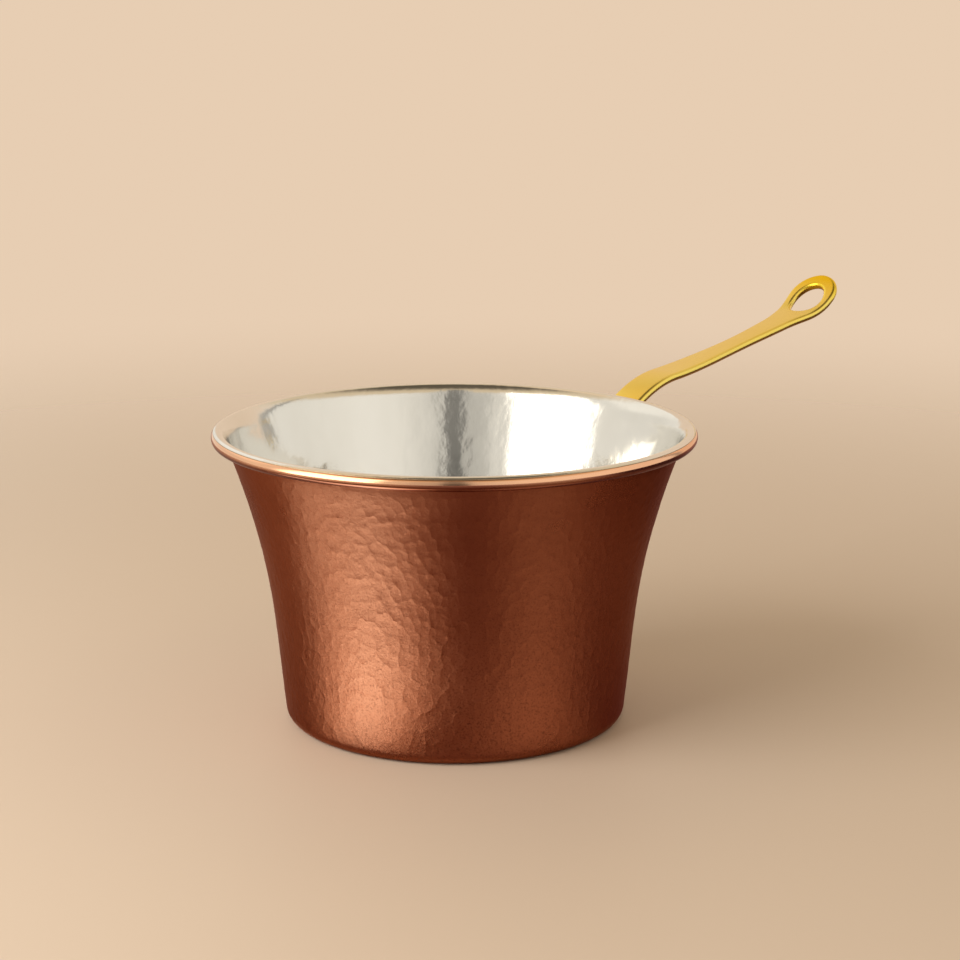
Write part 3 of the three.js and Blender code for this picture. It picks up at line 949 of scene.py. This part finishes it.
def rivet(name, height, turn, copper, tin):
    """A rivet with a domed head on the plate and a flatter, tinned one inside the pot."""
    rng = np.random.default_rng(len(name))
    radius, normal = wall_at(height)
    inner_face = COPPER + TIN_GAP + TIN_THICKNESS
    inner_seat = -inner_face - INNER_HEAD[0] ** 2 / (2 * FOOT_RADIUS)
    outer_seat = SEAT_GAP + PLATE_THICKNESS - HEAD_SINK

    def dome(size, seat, sign):
        angles = np.linspace(0, math.pi / 2, DOME_POINTS)
        return np.stack([size[0] * np.cos(angles) ** DOME_FULLNESS,
                         seat + sign * size[1] * np.sin(angles)], axis=1)

    inner = dome(INNER_HEAD, inner_seat, -1)[::-1]
    outer = dome(OUTER_HEAD, outer_seat, 1)
    shank = np.array([(SHANK_RADIUS, inner_seat), (SHANK_RADIUS, outer_seat)])
    grid = turned_points(np.concatenate([inner[1:], shank, outer[:-1]]), RIVET_COLUMNS)
    for blow in rng.normal(0, 1, (PEEN_BLOWS, 3)):
        aim = blow / np.linalg.norm(blow)
        reach = (grid @ aim) / OUTER_HEAD[0]
        grid += aim * (-PEEN_DEPTH * smooth((reach - PEEN_FROM) / PEEN_EASE))[:, :, None]
    points, faces = capped_skin(grid)
    tinned_below = inner_seat + SEAT_TOLERANCE
    slots = [1 if np.mean(points[list(face)], axis=0)[2] < tinned_below else 0 for face in faces]
    out = Vector((normal[0], 0, normal[1]))
    side = Vector((0, 1, 0))
    upright = Matrix((side.cross(out), side, out)).transposed().to_4x4()
    place = Matrix.Translation((radius, 0, height)) @ upright
    piece = mesh_object(name, points, faces, [copper, tin], slots)
    piece.data.transform(Matrix.Rotation(turn, 4, "Z") @ place)
    tidy_mesh(piece)
    return piece


# Stage, light and camera

def heading(bearing, elevation=0.0):
    """The direction from the pot, bearing and elevation in degrees; bearing 0 is +X."""
    turn, rise = math.radians(bearing), math.radians(elevation)
    return Vector((math.cos(turn) * math.cos(rise), math.sin(turn) * math.cos(rise), math.sin(rise)))


def floor():
    """A beige floor that fades into the pale surround some way from the pot."""
    corners = np.array([(-1, -1, 0), (1, -1, 0), (1, 1, 0), (-1, 1, 0)]) * FLOOR_END
    s = Shader("floor")
    s.set(roughness=FLOOR_ROUGHNESS)
    darker = tuple(c * FLOOR_DARKER for c in FLOOR_COLOUR)
    s.finish(s.mix(s.noise(FLOOR_CLOUD_SCALE), FLOOR_COLOUR, darker))
    reach = s.add("ShaderNodeVectorMath", operation="LENGTH")
    s.connect(s.place, reach.inputs[0])
    fade = s.ramp(reach.outputs["Value"], 0, 1, FLOOR_FADE, FLOOR_END, eased=True)
    clear = s.add("ShaderNodeBsdfTransparent").outputs[0]
    s.output_mix(fade, s.surface.outputs[0], clear)
    mesh_object("floor", corners, [(0, 1, 2, 3)], [s.material])


def grid_faces(rows, columns):
    """Quads of an open grid of points, row after row."""
    return [((i + 1) * columns + j, (i + 1) * columns + j + 1, i * columns + j + 1, i * columns + j)
            for i in range(rows - 1) for j in range(columns - 1)]


def glow_panel(name, points, colour, shade, cover, thin_colour=None):
    """A grid that gives light from its front alone, and shows in reflections and nowhere else."""
    s = Shader(name)
    light = s.add("ShaderNodeEmission")
    share = s.attribute("cover")
    glow = colour if thin_colour is None else s.mix(share, thin_colour, colour)
    s.feed(glow, light.inputs["Color"])
    s.connect(s.attribute("shade"), light.inputs["Strength"])
    front = s.maths("SUBTRACT", 1, s.add("ShaderNodeNewGeometry").outputs["Backfacing"])
    clear = s.add("ShaderNodeBsdfTransparent").outputs[0]
    s.output_mix(s.maths("MULTIPLY", share, front), clear, light.outputs[0])
    panel = mesh_object(name, points.reshape(-1, 3), grid_faces(*points.shape[:2]), [s.material])
    for key, values in (("shade", shade), ("cover", cover)):
        layer = panel.data.attributes.new(key, "FLOAT", "POINT")
        layer.data.foreach_set("value", np.asarray(values, np.float32).ravel())
    panel.visible_camera = False
    panel.visible_shadow = False
    panel.visible_diffuse = False


def studio_wall():
    """The studio round the camera, as the metal shows it: lamp, pale walls and a dark gap."""
    stops = np.array(WALL_SHADES)
    bearings = np.arange(stops[0, 0], stops[-1, 0] + STUDIO_STEP, STUDIO_STEP)
    heights = np.linspace(0, GAP_TOP_EDGE[1], STUDIO_ROWS)
    turn, height = np.meshgrid(np.radians(bearings), heights)
    points = np.stack([np.cos(turn) * WALL_DISTANCE, np.sin(turn) * WALL_DISTANCE, height], axis=2)
    low_shade, high_shade = (np.interp(np.degrees(turn), stops[:, 0], stops[:, k]) for k in (1, 2))
    shade = low_shade + (high_shade - low_shade) * share_between(height, WALL_LOW_EDGE)
    side = np.minimum(turn - turn.min(), turn.max() - turn)
    in_gap = np.interp(np.degrees(turn), GAP_BEARINGS, (0, 1, 1, 0))
    low, high = (wall + (gap - wall) * in_gap for wall, gap in zip(WALL_TOP_EDGE, GAP_TOP_EDGE))
    cover = smooth(side / math.radians(WALL_SIDE_FADE)) * smooth((high - height) / (high - low))
    glow_panel("studio_wall", points, WALL_COLOUR, shade, cover)


def floor_card(name, turn, radius, height, colour, shade, cover, thin_colour=None):
    """A card that lies round the pot and hands light, or dimness, up to the metal."""
    level = np.full(turn.shape, height)
    points = np.stack([np.cos(turn) * radius, np.sin(turn) * radius, level], axis=2)
    glow_panel(name, points, colour, shade, cover, thin_colour)


def share_between(value, edges):
    """0 before the first edge, 1 after the second, and a smooth step between them."""
    return smooth((value - edges[0]) / (edges[1] - edges[0]))


def table_card():
    """A brown card all round, so that the metal mirrors a table and not the pale floor alone."""
    stops = np.array(TABLE_COVERS)
    bearings = np.arange(0, 360 + TABLE_STEP, TABLE_STEP)
    radius, turn = np.meshgrid(TABLE_RADII, np.radians(bearings), indexing="ij")
    near, beyond, outer, outer_shade = (np.interp(np.degrees(turn), stops[:, 0], stops[:, k])
                                        for k in (1, 2, 3, 4))
    cover = near + (beyond - near) * share_between(radius, TABLE_FOOT_EDGE)
    cover += (outer - cover) * share_between(radius, TABLE_OUTER_EDGE)
    cover *= 1 - share_between(radius, TABLE_RADII[-2:])
    shade = 1 + (outer_shade - 1) * share_between(radius, TABLE_OUTER_EDGE)
    floor_card("table_card", turn, radius, TABLE_HEIGHT, TABLE_COLOUR, shade, cover)


def bounce_card(name, colour, thin_colour, rows):
    """A bright card on the floor, whose mirror image is a highlight down the wall."""
    rows = np.array(rows)
    radii = np.linspace(rows[0, 0], BOUNCE_OUTSIDE, BOUNCE_RINGS)
    middle, half_turn, shade = (np.interp(radii, rows[:, 0], rows[:, k])[:, None] for k in (1, 2, 3))
    across = np.linspace(-1, 1, BOUNCE_SPOKES)[None]
    turn = np.radians(middle + half_turn * across)
    radius = np.repeat(radii[:, None], turn.shape[1], axis=1)
    cover = smooth(1 - np.abs(across))
    cover = cover * share_between(radius, (radii[0], radii[0] + BOUNCE_INSIDE_FADE))
    cover = cover * (1 - share_between(radius, (BOUNCE_OUTSIDE - BOUNCE_OUTSIDE_FADE, BOUNCE_OUTSIDE)))
    shade = np.broadcast_to(shade, turn.shape)
    floor_card(name, turn, radius, BOUNCE_HEIGHT, colour, shade, cover, thin_colour)


def softbox(name, bearing, elevation, size, radiance):
    """A soft lamp that faces the pot."""
    away = heading(bearing, elevation)
    lamp = bpy.data.lights.new(name, "AREA")
    lamp.shape = "RECTANGLE"
    lamp.size, lamp.size_y = size
    lamp.energy = LAMP_POWER_FACTOR * radiance * size[0] * size[1]
    lamp.color = LAMP_COLOUR
    box = bpy.data.objects.new(name, lamp)
    box.location = Vector((0, 0, RIM_HEIGHT / 2)) + away * LAMP_DISTANCE
    box.rotation_euler = (-away).to_track_quat("-Z", "Y").to_euler()
    box.visible_camera = False
    box.visible_glossy = False
    bpy.context.scene.collection.objects.link(box)


def sky():
    """A pale surround: warm behind the pot, darker high up and overhead, with one warm patch."""
    world = bpy.data.worlds.new("surround")
    bpy.context.scene.world = world
    world.use_nodes = True
    n = Nodes(world.node_tree, "Generated")
    up = n.coordinate("Z")

    def towards(bearing, elevation=0.0):
        node = n.add("ShaderNodeVectorMath", operation="DOT_PRODUCT")
        node.inputs[1].default_value = heading(bearing, elevation)
        n.connect(n.place, node.inputs[0])
        return node.outputs["Value"]

    def rising(value, edge):
        return n.ramp(value, 0, 1, *edge, eased=True)

    low_down = n.ramp(up, 1, 0, *BACKDROP_TOP, eased=True)
    backdrop = n.maths("MULTIPLY", rising(towards(BACKDROP_BEARING), BACKDROP_EDGE), low_down)
    colour = n.mix(backdrop, STUDIO_COLOUR, BACKDROP_COLOUR)
    colour = n.mix(rising(up, HIGH_EDGE), colour, HIGH_COLOUR)
    colour = n.mix(rising(up, OVERHEAD_EDGE), colour, OVERHEAD_COLOUR)
    colour = n.mix(rising(towards(*WARM_AIM), WARM_EDGE), colour, WARM_COLOUR)
    n.connect(colour, n.tree.nodes["Background"].inputs["Color"])


def camera():
    data = bpy.data.cameras.new("camera")
    data.lens = CAMERA_LENS
    data.sensor_width = CAMERA_SENSOR
    view = bpy.data.objects.new("camera", data)
    view.location = CAMERA_PLACE
    view.rotation_euler = (math.pi / 2 - CAMERA_PITCH, 0, CAMERA_TURN)
    bpy.context.scene.collection.objects.link(view)
    bpy.context.scene.camera = view


def build():
    hammer, roll = hammered_copper(), rolled_copper()
    wall_tin, lip_tin, edge = wiped_tin(), smooth_tin(), tarnish_and_dark_reflection()
    peened = peened_copper()

    shell = pot_body(hammer, roll)
    skin = tin_lining(wall_tin, edge)
    casting = handle(cast_brass())
    pieces = [(shell, "pot_body", "hammered_copper"), (skin, "tin_lining", "tin"),
              (casting, "handle", "cast_brass")]

    plate_top = RIM_HEIGHT - PLATE_DROP
    upper = plate_top - UPPER_RIVET_INSET
    lower = plate_top - PLATE_LENGTH + LOWER_RIVET_INSET
    spread = UPPER_RIVET_SPACING / 2 / wall_at(upper)[0]
    for side, height, turn in (("upper_left", upper, spread), ("upper_right", upper, -spread),
                               ("lower", lower, 0)):
        head = rivet(f"peened_{side}", height, turn, peened, lip_tin)
        pieces.append((head, f"rivet_{side}", "rivet_copper"))

    for piece, node, slot in pieces:
        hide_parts(node)
        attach(piece, "root")
    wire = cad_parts["rim_wire"]
    wire.data.materials.clear()
    wire.data.materials.append(iron_wire())


build()
floor()
sky()
softbox("key", KEY_BEARING, KEY_ELEVATION, KEY_SIZE, KEY_RADIANCE)
studio_wall()
table_card()
bounce_card("key_bounce", *KEY_BOUNCE)
bounce_card("fill_bounce", *FILL_BOUNCE)
camera()
bpy.context.scene.view_settings.view_transform = "Standard"
